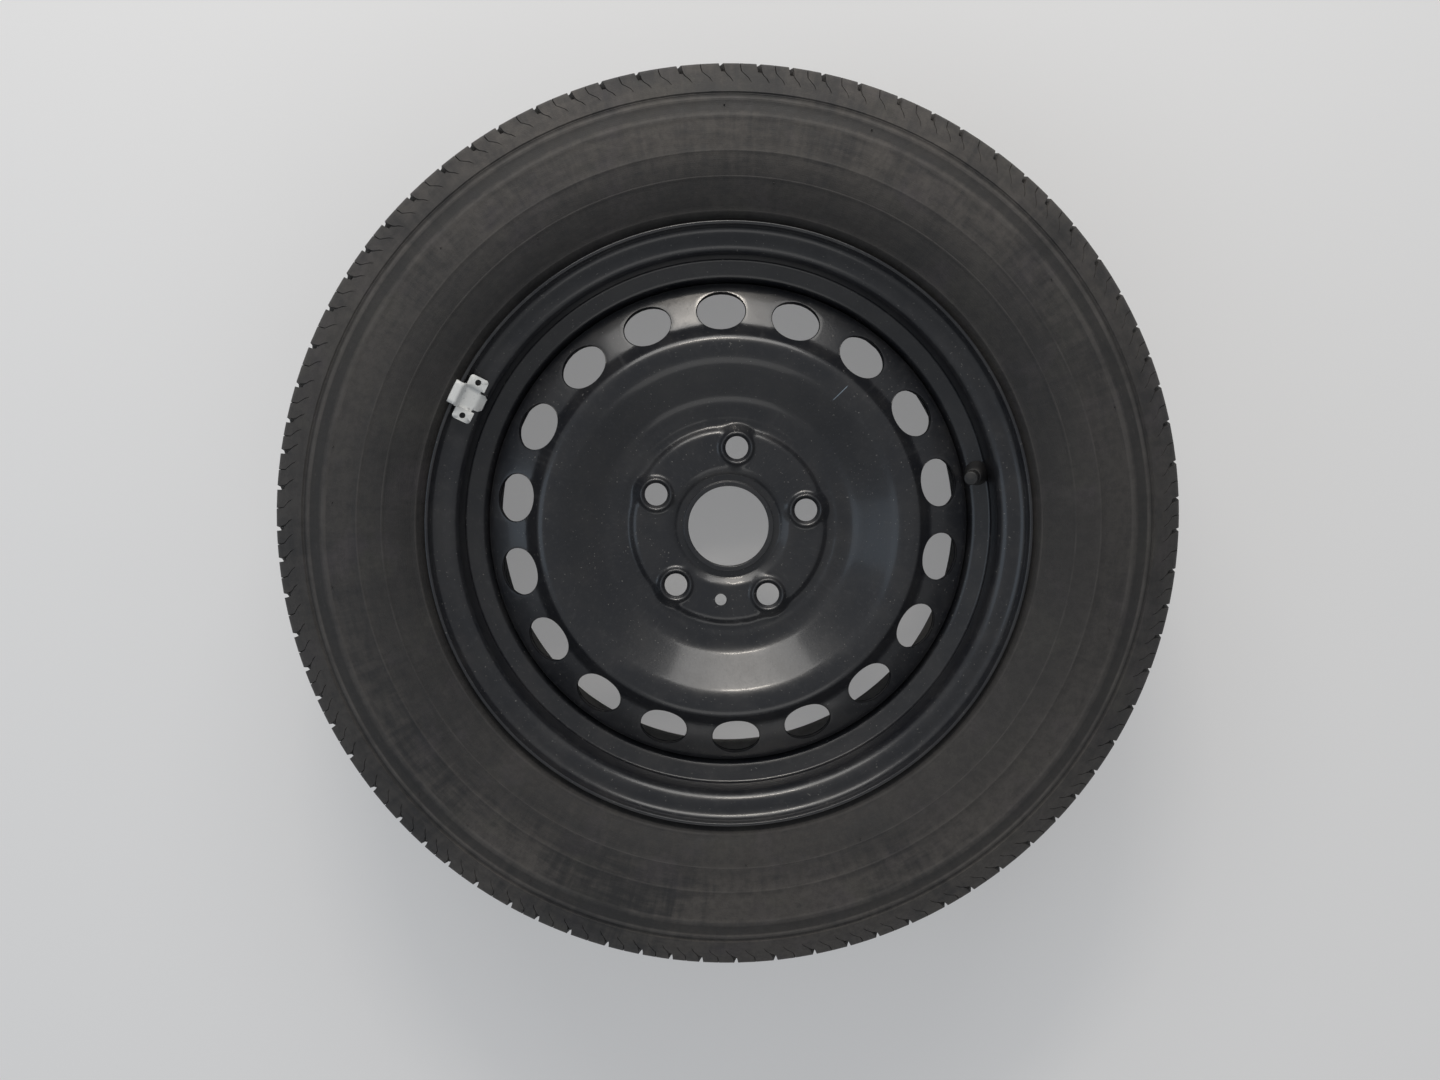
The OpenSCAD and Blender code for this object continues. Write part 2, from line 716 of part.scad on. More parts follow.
// A round wire swept along points that a function gives
function wire_ring(p, ahead, r, n) =
  let (t = unit(ahead), u = unit(cross(t, [0, 0, 1])), v = cross(t, u))
  [for (j = [0:n - 1]) p + r * (u * cos(j * 360 / n) + v * sin(j * 360 / n))];

module core_spring() {
  sides = 6;
  per_turn = 14;
  rings = per_turn * spring_turns;
  wire_r = spring_wire_d / 2;
  rise = spring_high - spring_low - spring_wire_d;
  path = [
    for (i = [0:rings])
      let (a = i * 360 / per_turn)
      [spring_r * cos(a), spring_r * sin(a), spring_low + wire_r + rise * i / rings]
  ];
  points = [
    for (i = [0:rings])
      each wire_ring(path[i], path[min(i + 1, rings)] - path[max(i - 1, 0)], wire_r, sides)
  ];
  faces = concat(
    [[for (j = [0:sides - 1]) j]],
    [
      for (i = [0:rings - 1], j = [0:sides - 1])
        let (k = (j + 1) % sides, low = i * sides, high = low + sides)
        each [[low + j, high + j, high + k], [low + j, high + k, low + k]]
    ],
    [[for (j = [sides - 1:-1:0]) rings * sides + j]]
  );
  color(spring_steel) at_valve() polyhedron(points, faces);
}

module valve_cap() {
  cap_r = cap_d / 2;
  color(valve_black)
    at_valve()
      difference() {
        rotate_extrude()
          polygon(
            concat(
              [[stem_r + cap_clearance, cap_foot], [cap_r, cap_foot]],
              corner([cap_r, cap_foot], [cap_r - 0.25, cap_top], [0, cap_top], 1),
              [[0, cap_top], [0, cap_top - cap_roof], [stem_r + cap_clearance, cap_top - cap_roof]]
            )
          );
        for (i = [0:cap_flutes - 1])
          rotate([0, 0, i * 360 / cap_flutes])
            translate([cap_r + 0.35, 0, cap_foot - 1])
              cylinder(r = 0.75, h = cap_l - 2.5, $fn = 32);
      }
}

// A part of the weight: its sheet section swept about the axle, trimmed to a flat outline
module trimmed_sheet(path, shape) {
  intersection() {
    rotate([0, 0, -6]) rotate_extrude(angle = 12) polygon(sheet_right(path, weight_sheet));
    linear_extrude(lip_z + 20) polygon(shape);
  }
}

function sheet_right(path, t) = concat(side(path, 0), reversed(side(path, -t)));

module balance_weight() {
  tab_w = channel_l * 0.7;
  tab_r = weight_path[5].x;
  tab_start = weight_path[4].x;
  reach = lip_r + weight_sheet + 1;
  waist = lip_r - rim_sheet - 1.6;
  color(weight_grey)
    rotate([0, 0, weight_angle])
      difference() {
        union() {
          trimmed_sheet(
            weight_path,
            [
              [reach, -hook_l / 2], [reach, hook_l / 2], [waist, hook_l / 2],
              [waist, channel_l / 2], [tab_start, channel_l / 2], [tab_start - 0.8, tab_w / 2],
              [tab_r + 0.4, tab_w / 2], [tab_r - 2, tab_w / 2 - 2], [tab_r - 2, 2 - tab_w / 2],
              [tab_r + 0.4, -tab_w / 2], [tab_start - 0.8, -tab_w / 2],
              [tab_start, -channel_l / 2], [waist, -channel_l / 2], [waist, -hook_l / 2]
            ]
          );
          for (y = [-1, 1]) ear(y);
        }
        for (y = [-1, 1])
          translate([ear_middle_r, y * (channel_l + ear_l) / 2, ear_z])
            rotate([0, -ear_slope, 0])
              translate([0, 0, -weight_sheet])
                cylinder(d = ear_hole_d, h = 3 * weight_sheet, $fn = 48);
      }
}

// A flat ear at one end of the channel, a little higher than the channel's floor
module ear(y) {
  lap = 0.8;
  translate([ear_middle_r, y * (channel_l / 2 + ear_l / 2 - lap / 2), ear_z])
    rotate([0, -ear_slope, 0])
      linear_extrude(weight_sheet)
        polygon(
          outline([
            [-ear_w / 2, -(ear_l + lap) / 2, y > 0 ? 0.3 : 2.2],
            [ear_w / 2, -(ear_l + lap) / 2, y > 0 ? 0.3 : 2.2],
            [ear_w / 2, (ear_l + lap) / 2, y > 0 ? 2.2 : 0.3],
            [-ear_w / 2, (ear_l + lap) / 2, y > 0 ? 2.2 : 0.3]
          ])
        );
}

rim();
disc();
weld_seams();
tyre();
valve_body();
valve_stem();
core_head();
core_barrel();
core_barrel_seal();
core_pin();
core_cup();
core_cup_seal();
core_spring();
valve_cap();
balance_weight();
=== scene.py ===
# The looks of a steel spare wheel: satin black rim and disc, road tyre, valve and balance weight.
import math

import bmesh
import bpy
from mathutils import Matrix, Vector


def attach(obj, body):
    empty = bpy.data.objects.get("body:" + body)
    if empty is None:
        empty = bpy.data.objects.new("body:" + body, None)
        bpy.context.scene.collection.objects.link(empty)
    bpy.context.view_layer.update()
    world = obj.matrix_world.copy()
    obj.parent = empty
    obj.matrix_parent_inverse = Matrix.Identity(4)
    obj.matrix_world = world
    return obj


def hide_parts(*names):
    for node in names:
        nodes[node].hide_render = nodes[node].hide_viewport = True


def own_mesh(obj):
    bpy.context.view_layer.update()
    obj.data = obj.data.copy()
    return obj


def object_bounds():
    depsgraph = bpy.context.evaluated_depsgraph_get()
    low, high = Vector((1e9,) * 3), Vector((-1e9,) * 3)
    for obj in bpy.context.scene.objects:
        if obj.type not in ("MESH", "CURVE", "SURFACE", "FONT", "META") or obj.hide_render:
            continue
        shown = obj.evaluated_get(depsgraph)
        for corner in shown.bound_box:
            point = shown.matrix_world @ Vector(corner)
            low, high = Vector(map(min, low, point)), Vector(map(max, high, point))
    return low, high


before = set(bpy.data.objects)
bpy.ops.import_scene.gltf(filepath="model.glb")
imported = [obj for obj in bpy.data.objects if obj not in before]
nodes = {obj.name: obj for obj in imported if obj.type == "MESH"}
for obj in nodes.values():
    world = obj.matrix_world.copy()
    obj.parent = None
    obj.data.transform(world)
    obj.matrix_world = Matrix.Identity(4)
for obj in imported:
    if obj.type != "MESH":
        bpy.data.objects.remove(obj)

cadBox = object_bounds()
scene = bpy.context.scene
mm = 0.001
print("frame loaded:", len(nodes), "nodes")


# Shader maths

class Wire:
    # An output of a finish's node; sums and products of wires add Math nodes.
    def __init__(self, finish, socket):
        self.finish = finish
        self.socket = socket

    def math(self, operation, *others):
        return self.finish.maths(operation, self, *others)

    def __add__(self, other):
        return self.math("ADD", other)

    def __sub__(self, other):
        return self.math("SUBTRACT", other)

    def __mul__(self, other):
        return self.math("MULTIPLY", other)

    def __truediv__(self, other):
        return self.math("DIVIDE", other)


class Finish:
    # A material with one Principled shader.
    def __init__(self, name, **sockets):
        self.material = bpy.data.materials.new(name)
        self.material.use_nodes = True
        self.tree = self.material.node_tree
        self.shader = self.tree.nodes["Principled BSDF"]
        self.use(**sockets)
        place = self.tree.nodes.new("ShaderNodeTexCoord")
        self.place = Wire(self, place.outputs["Object"])

    def feed(self, socket, value):
        if isinstance(value, Wire):
            self.tree.links.new(value.socket, socket)
        elif hasattr(socket.default_value, "__len__") and len(value) < len(socket.default_value):
            socket.default_value = (*value, 1)
        else:
            socket.default_value = value

    def node(self, kind, settings, sockets, output=0):
        made = self.tree.nodes.new("ShaderNode" + kind)
        for name, value in settings.items():
            if name == "stops":
                for i, (at, colour) in enumerate(value):
                    stop = made.color_ramp.elements[i] if i < 2 else made.color_ramp.elements.new(at)
                    stop.position = at
                    stop.color = (*colour, 1)
            else:
                setattr(made, name, value)
        for key, value in sockets.items():
            self.feed(made.inputs[key], value)
        return Wire(self, made.outputs[output])

    def maths(self, operation, *values):
        return self.node("Math", {"operation": operation}, dict(enumerate(values)))

    def mix(self, share, first, second):
        # Two colours mixed by share
        return self.node("Mix", {"data_type": "RGBA"}, {0: share, 6: first, 7: second}, 2)

    def noise(self, scale, detail=2.0, place=None, roughness=0.5):
        sockets = {"Vector": place or self.place, "Scale": scale, "Detail": detail, "Roughness": roughness}
        return self.node("TexNoise", {}, sockets)

    def step(self, value, low, high, start=0.0, end=1.0):
        # A smooth step from start to end as value goes from low to high
        sockets = {"Value": value, "From Min": low, "From Max": high, "To Min": start, "To Max": end}
        return self.node("MapRange", {"interpolation_type": "SMOOTHSTEP"}, sockets)

    def between(self, value, low, high, soft):
        # 1 where value lies between low and high, with soft edges
        return self.step(value, low - soft, low) * self.step(value, high, high + soft, 1, 0)

    def axes(self):
        # x, y and z of the place, and the distance from the axle
        split = self.tree.nodes.new("ShaderNodeSeparateXYZ")
        self.tree.links.new(self.place.socket, split.inputs[0])
        x, y, z = (Wire(self, split.outputs[i]) for i in range(3))
        return x, y, z, (x * x + y * y).math("SQRT")

    def stretched(self, x, y, z, around, across):
        # A place for patterns that run round the axle: coarse around it, fine across
        r = (x * x + y * y).math("SQRT")
        sockets = {0: x / r * around, 1: y / r * around, 2: r * across + z * across}
        return self.node("CombineXYZ", {}, sockets)

    def bands(self, value, bands):
        # The sum of soft bands, each given by its low and high end, softness and strength
        total = None
        for low, high, soft, strength in bands:
            band = self.between(value, low, high, soft) * strength
            total = total + band if total else band
        return total

    def raised(self, height, distance, strength):
        return self.node("Bump", {}, {"Height": height, "Distance": distance, "Strength": strength})

    def use(self, **wires):
        for socket, value in wires.items():
            self.feed(self.shader.inputs[socket.replace("_", " ")], value)
        return self.material


# Outlines and pieces

def corner(before, at, after, radius, shift, step):
    # The points that round the corner at, moved to the left of the path by shift
    back = (before - at).normalized()
    ahead = (after - at).normalized()
    turn = math.copysign(1, (at - before).cross(after - at))
    half = math.acos(max(-1, min(1, back.dot(ahead)))) / 2
    if radius > 0:
        middle = at + (back + ahead).normalized() * radius / math.sin(half)
        first = at + back * radius / math.tan(half) - middle
        last = at + ahead * radius / math.tan(half) - middle
    else:
        middle = at
        first = Vector((-back.y, back.x)) * turn
        last = Vector((ahead.y, -ahead.x)) * turn
    start = math.atan2(first.y, first.x)
    sweep = (math.atan2(last.y, last.x) - start + 3 * math.pi) % (2 * math.pi) - math.pi
    reach = radius - shift * turn
    if abs(reach) < 0.001:
        return [middle]
    count = max(1, math.ceil(abs(math.degrees(sweep)) / step))
    angles = [start + sweep * i / count for i in range(count + 1)]
    return [middle + Vector((math.cos(a), math.sin(a))) * reach for a in angles]


def sideOf(path, shift=0.0, step=9.0):
    # One side of a bent sheet: entries are (x, y, radius), the ends have no radius
    points = [Vector(entry[:2]) for entry in path]
    start = (points[1] - points[0]).normalized()
    stop = (points[-1] - points[-2]).normalized()
    side = [points[0] + shift * Vector((-start.y, start.x))]
    for i in range(1, len(points) - 1):
        side += corner(points[i - 1], points[i], points[i + 1], path[i][2], shift, step)
    return side + [points[-1] + shift * Vector((-stop.y, stop.x))]


def spun(section, steps, closed=True):
    # A ring turned from a section of (distance from the axle, height) points in millimetres
    bm = bmesh.new()
    verts = [bm.verts.new((p[0] * mm, 0, p[1] * mm)) for p in section]
    edges = [bm.edges.new(pair) for pair in zip(verts, verts[1:])]
    if closed:
        edges.append(bm.edges.new((verts[-1], verts[0])))
    bmesh.ops.spin(bm, geom=verts + edges, cent=(0, 0, 0), axis=(0, 0, 1), angle=math.tau,
                   steps=steps, use_merge=True)
    bmesh.ops.remove_doubles(bm, verts=bm.verts, dist=1e-7)
    bmesh.ops.recalc_face_normals(bm, faces=bm.faces)
    return bm


def piece(name, bm, slot, node, body="wheel", sharp=35.0):
    # A finished piece that stands for a CAD node
    mesh = bpy.data.meshes.new(name)
    bm.to_mesh(mesh)
    bm.free()
    mesh.shade_smooth()
    mesh.set_sharp_from_angle(angle=math.radians(sharp))
    made = bpy.data.objects.new(name, mesh)
    scene.collection.objects.link(made)
    mesh.materials.append(finishes[slot])
    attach(made, body)
    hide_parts(node)
    return made


def copyOf(node):
    # A CAD node's mesh with its loose triangles joined
    bm = bmesh.new()
    bm.from_mesh(nodes[node].data)
    bmesh.ops.remove_doubles(bm, verts=bm.verts, dist=2e-6)
    bmesh.ops.dissolve_degenerate(bm, edges=bm.edges, dist=1e-7)
    return bm


# Camera, floor and light

camera = {
    "distance": 0.880, "above": 4.89, "left": 0.79, "yaw": 0.39, "pitch": -0.68,
    "focal": 30.75, "sensor": 36.0,
}


def addCamera():
    above = math.radians(camera["above"])
    left = -math.radians(camera["left"])
    place = camera["distance"] * Vector((math.sin(left) * math.cos(above), math.sin(above),
                                         math.cos(left) * math.cos(above)))
    forward = -place.normalized()
    right = forward.cross(Vector((0, 1, 0))).normalized()
    up = right.cross(forward)
    yaw = Matrix.Rotation(math.radians(camera["yaw"]), 3, up)
    forward, right = yaw @ forward, yaw @ right
    pitch = Matrix.Rotation(math.radians(camera["pitch"]), 3, right)
    forward, up = pitch @ forward, pitch @ up
    lens = bpy.data.cameras.new("camera")
    lens.lens = camera["focal"]
    lens.sensor_width = camera["sensor"]
    lens.sensor_fit = "HORIZONTAL"
    eye = bpy.data.objects.new("camera", lens)
    axes = Matrix((right, up, -forward)).transposed()
    eye.matrix_world = Matrix.Translation(place) @ axes.to_4x4()
    scene.collection.objects.link(eye)
    scene.camera = eye


# Place, size, power and colour of each lamp
lamps = {
    "skylight": ((-0.15, 1.95, 1.15), (2.2, 1.0), 27, (1.0, 0.98, 0.95)),
    "strip": ((-0.18, 1.76, 1.32), (0.6, 0.06), 9, (1.0, 0.92, 0.82)),
    "window": ((-1.8, -0.1, 1.4), (1.0, 1.4), 3.5, (0.66, 0.82, 1.0)),
    "fill": ((0.2, -1.8, 1.4), (1.8, 1.0), 5, (1.0, 0.98, 0.95)),
}


def addLamp(name, place, size, power, colour):
    # A square lamp that looks at the middle of the wheel
    light = bpy.data.lights.new(name, "AREA")
    light.shape = "RECTANGLE"
    light.size, light.size_y = size
    light.energy = power
    light.color = colour
    lamp = bpy.data.objects.new(name, light)
    turn = (-Vector(place)).to_track_quat("-Z", "Y")
    lamp.matrix_world = Matrix.Translation(place) @ turn.to_matrix().to_4x4()
    scene.collection.objects.link(lamp)


stage = {
    "floorGlow": 0.34, "floorSeen": (0.66, 0.66, 0.665), "floorR": 6.0,
    "worldLight": 0.34, "worldColour": (0.93, 0.96, 1.0), "worldSeen": (0.70, 0.705, 0.71),
}


def addFloor():
    # A pale floor that the camera sees a little brighter than the lamps make it
    bm = bmesh.new()
    bmesh.ops.create_circle(bm, cap_ends=True, segments=64, radius=stage["floorR"])
    bmesh.ops.translate(bm, verts=bm.verts, vec=(0, 0, cadBox[0][2]))
    mesh = bpy.data.meshes.new("floor")
    bm.to_mesh(mesh)
    bm.free()
    floor = bpy.data.objects.new("floor", mesh)
    scene.collection.objects.link(floor)
    pale = Finish("pale_floor", Base_Color=(0.88, 0.88, 0.88), Roughness=0.7)
    glow = pale.tree.nodes.new("ShaderNodeEmission")
    glow.inputs["Color"].default_value = (*stage["floorSeen"], 1)
    rays = pale.tree.nodes.new("ShaderNodeLightPath")
    share = Wire(pale, rays.outputs["Is Camera Ray"]) * stage["floorGlow"]
    pair = pale.tree.nodes.new("ShaderNodeMixShader")
    pale.feed(pair.inputs[0], share)
    pale.tree.links.new(pale.shader.outputs[0], pair.inputs[1])
    pale.tree.links.new(glow.outputs[0], pair.inputs[2])
    pale.tree.links.new(pair.outputs[0], pale.tree.nodes["Material Output"].inputs[0])
    mesh.materials.append(pale.material)


def addWorld():
    # Pale light from all round, with a colour of its own where the camera sees it
    world = bpy.data.worlds.new("studio")
    scene.world = world
    world.use_nodes = True
    tree = world.node_tree
    back = tree.nodes["Background"]
    seen = tree.nodes.new("ShaderNodeBackground")
    seen.inputs["Color"].default_value = (*stage["worldSeen"], 1)
    back.inputs["Color"].default_value = (*stage["worldColour"], 1)
    back.inputs["Strength"].default_value = stage["worldLight"]
    rays = tree.nodes.new("ShaderNodeLightPath")
    choice = tree.nodes.new("ShaderNodeMixShader")
    tree.links.new(rays.outputs["Is Camera Ray"], choice.inputs[0])
    tree.links.new(back.outputs[0], choice.inputs[1])
    tree.links.new(seen.outputs[0], choice.inputs[2])
    tree.links.new(choice.outputs[0], tree.nodes["World Output"].inputs[0])


addCamera()
addFloor()
addWorld()
for name, settings in lamps.items():
    addLamp(name, *settings)
scene.view_settings.view_transform = "Standard"
print("camera, floor and light are in place")


# Finishes

# The scratch in the disc's bowl, in metres: its middle, half its length and width, soft ends and sides
scratch = {"at": (0.0764, 0.0934), "long": 0.0055, "wide": 0.0002, "softEnds": 0.002, "softSides": 0.0002}


def blackPaint(name, shine, dust, scratched=False):
    # Satin black dip paint: orange peel, thin dust, specks and scuffs round the axle
    f = Finish(name, Specular_IOR_Level=0.5, Coat_Weight=0.4, Coat_Roughness=0.13)
    x, y, z, r = f.axes()
    cloud = f.noise(14, 3)
    film = f.step(f.noise(38, 5, roughness=0.62), 0.36, 0.72) * dust
    speck = f.step(f.noise(620, 1), 0.725, 0.765)
    scuffs = f.step(f.noise(9, 6, f.stretched(x, y, z, 6, 900)), 0.62, 0.72)
    rubbed = f.step(f.noise(3.4, 5, f.stretched(x, y, z, 12, 60), 0.65), 0.52, 0.72)
    base = f.mix(cloud, (0.0085, 0.0094, 0.0124), (0.0150, 0.0158, 0.0188))
    base = f.mix(film * 0.16, base, (0.17, 0.155, 0.135))
    base = f.mix(rubbed * 0.06, base, (0.16, 0.16, 0.165))
    base = f.mix(speck * 0.35, base, (0.30, 0.29, 0.27))
    base = f.mix(scuffs * 0.12, base, (0.14, 0.14, 0.14))
    rough = film * 0.22 + cloud * 0.10 + rubbed * 0.07 + (shine - 0.05) + speck * 0.25
    if scratched:
        diagonal = math.sqrt(0.5)
        u = (x - scratch["at"][0]) * diagonal
        v = (y - scratch["at"][1]) * diagonal
        along = f.between(u + v, -scratch["long"], scratch["long"], scratch["softEnds"])
        across = f.between(v - u, -scratch["wide"], scratch["wide"], scratch["softSides"])
        base = f.mix(along * across * 0.7, base, (0.24, 0.30, 0.36))
    peel = f.noise(560, 2)
    ripple = f.noise(85, 2)
    bump = f.raised(peel + ripple * 2.2, 0.00009, 0.45)
    return f.use(Base_Color=base, Roughness=rough, Normal=bump)


# Rings on the tyre's outer side, in metres from the axle: low and high end, softness, strength
# The pale rings sit on the raised rings' tops: painted highlight, with some scuffing
ringHighlightsAndScuffs = (
    (0.2840, 0.2862, 0.0008, 0.75), (0.2722, 0.2746, 0.0010, 0.60), (0.2500, 0.2508, 0.0004, 0.45),
    (0.2338, 0.2346, 0.0004, 0.45), (0.2134, 0.2142, 0.0005, 0.40),
)
darkRings = ((0.2772, 0.2828, 0.0016, 1.0), (0.2872, 0.2882, 0.0004, 0.6))
mouldMarks = 0.0013


def rubber(name):
    # Tyre rubber: fine grain, brown-grey dust that is partly painted light where it thickens towards the
    # top and bottom, pale rings that are partly scuffs and partly painted highlight, and a dark band under
    # the blocks
    f = Finish(name, Specular_IOR_Level=0.4)
    x, y, z, r = f.axes()
    cloud = f.noise(7, 4, roughness=0.6)
    streaks = f.noise(3.2, 5, f.stretched(x, y, z, 3, 70), 0.6)
    rays = f.noise(2.0, 4, f.stretched(x, y, z, 26, 14), 0.6)
    grain = f.noise(1500, 2)
    across = y / r
    dusty = f.step(cloud * 0.5 + streaks * 0.3 + rays * 0.25, 0.40, 0.60)
    # Painted light as well as dust: the dust is made thicker towards the top and bottom of the view (±y),
    # most at the bottom, so those sides read lighter
    dusty = dusty * (across * across * 0.95 - across * 0.12 + 0.48)
    upper = f.step(r, 0.230, 0.268) * 0.6 + 0.3
    dark = f.bands(r, darkRings)
    # Painted highlight on the raised rings, broken up by noise as scuffing
    ringHighlightAndScuff = f.bands(r, ringHighlightsAndScuffs) * f.step(f.noise(40, 4), 0.36, 0.6, 0.35, 1.0)
    scuff = f.step(f.noise(5, 6, f.stretched(x, y, z, 9, 160), 0.7), 0.60, 0.70)
    patches = f.step(f.noise(22, 6, roughness=0.7), 0.46, 0.66)
    mottle = f.step(f.noise(150, 6, roughness=0.8), 0.40, 0.62)
    tint = f.step(f.noise(30, 3), 0.40, 0.60)
    base = f.mix(grain, (0.0165, 0.0163, 0.0172), (0.0275, 0.0268, 0.0268))
    # Dust colour; the weighting towards the top and bottom above makes part of it painted light
    base = f.mix(dusty * upper, base, (0.076, 0.0695, 0.0640))
    base = f.mix(patches * 0.26, base, f.mix(tint, (0.070, 0.060, 0.068), (0.064, 0.062, 0.052)))
    base = f.mix(mottle * 0.30, base, (0.012, 0.0115, 0.0125))
    base = f.mix(dark * 0.6, base, (0.0150, 0.0147, 0.0148))
    # One pale colour for the painted ring highlights and for real scuffs
    base = f.mix(ringHighlightAndScuff * 0.40 + scuff * 0.16, base, (0.115, 0.108, 0.102))
    rough = dusty * 0.14 + grain * 0.10 + 0.56 - dark * 0.05
    marks = (r * (math.tau / mouldMarks)).math("SINE")
    bump = f.raised(grain + marks * 0.10 + mottle * 0.8 + cloud * 2, 0.00012, 0.7)
    return f.use(Base_Color=base, Roughness=rough, Normal=bump)


def moulded(name, colour, shine=0.5, grain=900):
    # Moulded rubber or plastic, or a powder coat, with fine grain and a little dust
    f = Finish(name)
    fine = f.noise(grain, 2)
    cloud = f.noise(60, 4, roughness=0.6)
    dusty = f.step(cloud, 0.5, 0.75)
    base = f.mix(fine, [c * 0.82 for c in colour], [min(1, c * 1.12) for c in colour])
    base = f.mix(dusty * 0.16, base, (0.20, 0.19, 0.17))
    bump = f.raised(fine, 0.00006, 0.7)
    return f.use(Base_Color=base, Roughness=dusty * 0.15 + fine * 0.12 + shine, Normal=bump)


def bareMetal(name, colour, shine=0.3):
    # Turned metal with fine marks round the valve's axis and a dull film
    f = Finish(name, Metallic=1.0)
    marks = f.noise(2600, 3)
    film = f.noise(240, 4)
    base = f.mix(film, [c * 0.72 for c in colour], colour)
    bump = f.raised(marks, 0.00002, 0.6)
    return f.use(Base_Color=base, Roughness=marks * 0.14 + film * 0.16 + shine, Normal=bump)


def coatedSteel(name):
    # The weight's pale grey coat, thin and darker at worn spots
    f = Finish(name)
    fine = f.noise(700, 3)
    worn = f.step(f.noise(260, 5, roughness=0.65), 0.62, 0.70)
    stain = f.step(f.noise(90, 4), 0.5, 0.8)
    base = f.mix(fine, (0.60, 0.61, 0.60), (0.70, 0.71, 0.70))
    base = f.mix(stain * 0.35, base, (0.50, 0.47, 0.46))
    base = f.mix(worn * 0.6, base, (0.23, 0.23, 0.23))
    bump = f.raised(fine + worn * -1.5, 0.00006, 0.7)
    return f.use(Base_Color=base, Roughness=worn * 0.12 + fine * 0.10 + 0.42, Normal=bump)


finishes = {
    "rim_paint": blackPaint("rim_black", 0.30, 0.34),
    "disc_paint": blackPaint("disc_black", 0.30, 0.34, scratched=True),
    "seam_paint": blackPaint("seam_black", 0.46, 0.5),
    "tyre_rubber": rubber("tyre_rubber"),
    "valve_rubber": moulded("valve_rubber", (0.016, 0.016, 0.017), 0.50),
    "seal_rubber": moulded("seal_rubber", (0.30, 0.035, 0.022), 0.55),
    "stem_brass": bareMetal("stem_brass", (0.72, 0.55, 0.30), 0.26),
    "core_brass": bareMetal("core_brass", (0.76, 0.60, 0.34), 0.24),
    "spring_wire": bareMetal("spring_wire", (0.62, 0.62, 0.64), 0.22),
    "cap_plastic": moulded("cap_plastic", (0.013, 0.013, 0.014), 0.42, 500),
    "weight_coat": coatedSteel("weight_coat"),
}
print("finishes made:", len(finishes))


# Rim

rimSize = {
    "beadSeatR": 190.1, "width": 152.4, "sheet": 2.4, "flangeH": 17.5, "curlR": 9.5, "lipReach": 12.8,
    "heelR": 6.5, "seatTaper": 5.0, "seatL": 18.4, "humpH": 1.4, "humpW": 6.6, "wellDepth": 17.3,
    "wellL": 46.2, "wellLean": 19.3, "slopeL": 26.0, "ledgeDepth": 2.7, "middleZ": -47.0,
    "steps": 300, "edgeR": 0.9,
}


def rimPath():
    s = rimSize
    lipR = s["beadSeatR"] + s["flangeH"]
    flangeZ = s["middleZ"] + s["width"] / 2
    lipZ = flangeZ + s["lipReach"]
    wellR = s["beadSeatR"] - s["wellDepth"]
    footR = s["beadSeatR"] - s["seatL"] * math.tan(math.radians(s["seatTaper"]))
    footZ = flangeZ - s["seatL"]
    topR, topZ = footR + s["humpH"], footZ - s["humpW"]
    wellTop = topZ - (topR - wellR) * math.tan(math.radians(s["wellLean"]))
    wellEnd = wellTop - s["wellL"]
    front = [
        (lipR, lipZ, 0), (lipR, flangeZ, s["curlR"]), (s["beadSeatR"], flangeZ, s["heelR"]),
        (footR, footZ, 6), (topR, topZ, 5), (wellR, wellTop, 7),
    ]
    ledgeR = s["beadSeatR"] - s["ledgeDepth"]
    rear = [(p[0], 2 * s["middleZ"] - p[1], p[2]) for p in reversed(front[:5])]
    ledge = [
        (wellR, wellEnd, 7), (ledgeR, wellEnd - s["slopeL"], 14),
        (ledgeR + 0.4, 2 * s["middleZ"] - topZ + s["humpW"], 6),
    ]
    return front + ledge + rear


def buildRim():
    path = rimPath()
    outer = sideOf(path)
    inner = sideOf(path, -rimSize["sheet"])[::-1]
    loop = []
    for side, other in ((outer, inner), (inner, outer)):
        a, b, c, d = side[-2:] + other[:2]
        loop += side[1:-1]
        loop += corner(a, b, c, rimSize["edgeR"], 0, 22) + corner(b, c, d, rimSize["edgeR"], 0, 22)
    piece("steel_rim", spun(loop, rimSize["steps"]), "rim_paint", "rim")


buildRim()
print("rim spun")


# Disc

discSize = {
    "boreR": 28.55, "collarH": 8.0, "sheet": 3.5, "boltR": 56.0, "bolts": 5, "firstBolt": 12.0,
    "holeR": 7.75, "ballR": 13.0, "ballW": 20.4, "plateauH": 4.2, "bossH": 3.0, "bossSlope": 0.9,
    "bossBlend": 1.5, "pinHoleR": 3.9, "pinHoleAt": 52.8, "pinHoleSector": 7, "crownR": 129.0,
    "crownH": 26.5, "skirtFall": 25.0, "flangeR": 166.9, "flangeDepth": 34.0, "vents": 18,
    "ventA": 12.9, "ventB": 16.6, "ventAt": 150.3, "columns": 180, "edgeR": 0.55,
    # How far the first rings of points round a hole lie under the face
    "holeDrop": (0.3, 0.09, 0.015),
}
# Distances from the axle where the bolt ring and the vented skirt are divided
ringRows = [
    36.4, 37.4, 38.4, 39.5, 40.8, 42.0, 43.0, 44.0, 45.2, 47.5, 50.5, 54.0, 58.0, 61.5, 63.4, 64.6,
    65.6, 66.8, 68.1, 69.3, 70.5, 71.8, 73.4, 75.0, 76.4, 77.6, 78.8, 80.0,
]
ventRows = [
    133.6, 134.6, 135.7, 136.9, 138.2, 139.6, 141.2, 143.2, 146.0, 149.5, 153.5, 157.5, 161.5, 165.0, 168.3,
]
# Rings of points round a hole: their distances from its edge, then shares of the way to the sector's edge
boltRings = [0, 0.4, 0.9, 1.4, 1.9, 2.35, 2.7, 3.1, 3.5, 4.0, 4.6, 5.3, 6.1, 7.0]
pinRings = [0, 0.4, 0.9, 1.8, 3.2, 5.0, 7.2, 9.4]
ventRings = [0, 0.45, 0.9]
holeShares = [0.12, 0.25, 0.39, 0.54, 0.7, 0.86, 1.0]
ventShares = [0.2, 0.4, 0.6, 0.8, 1.0]



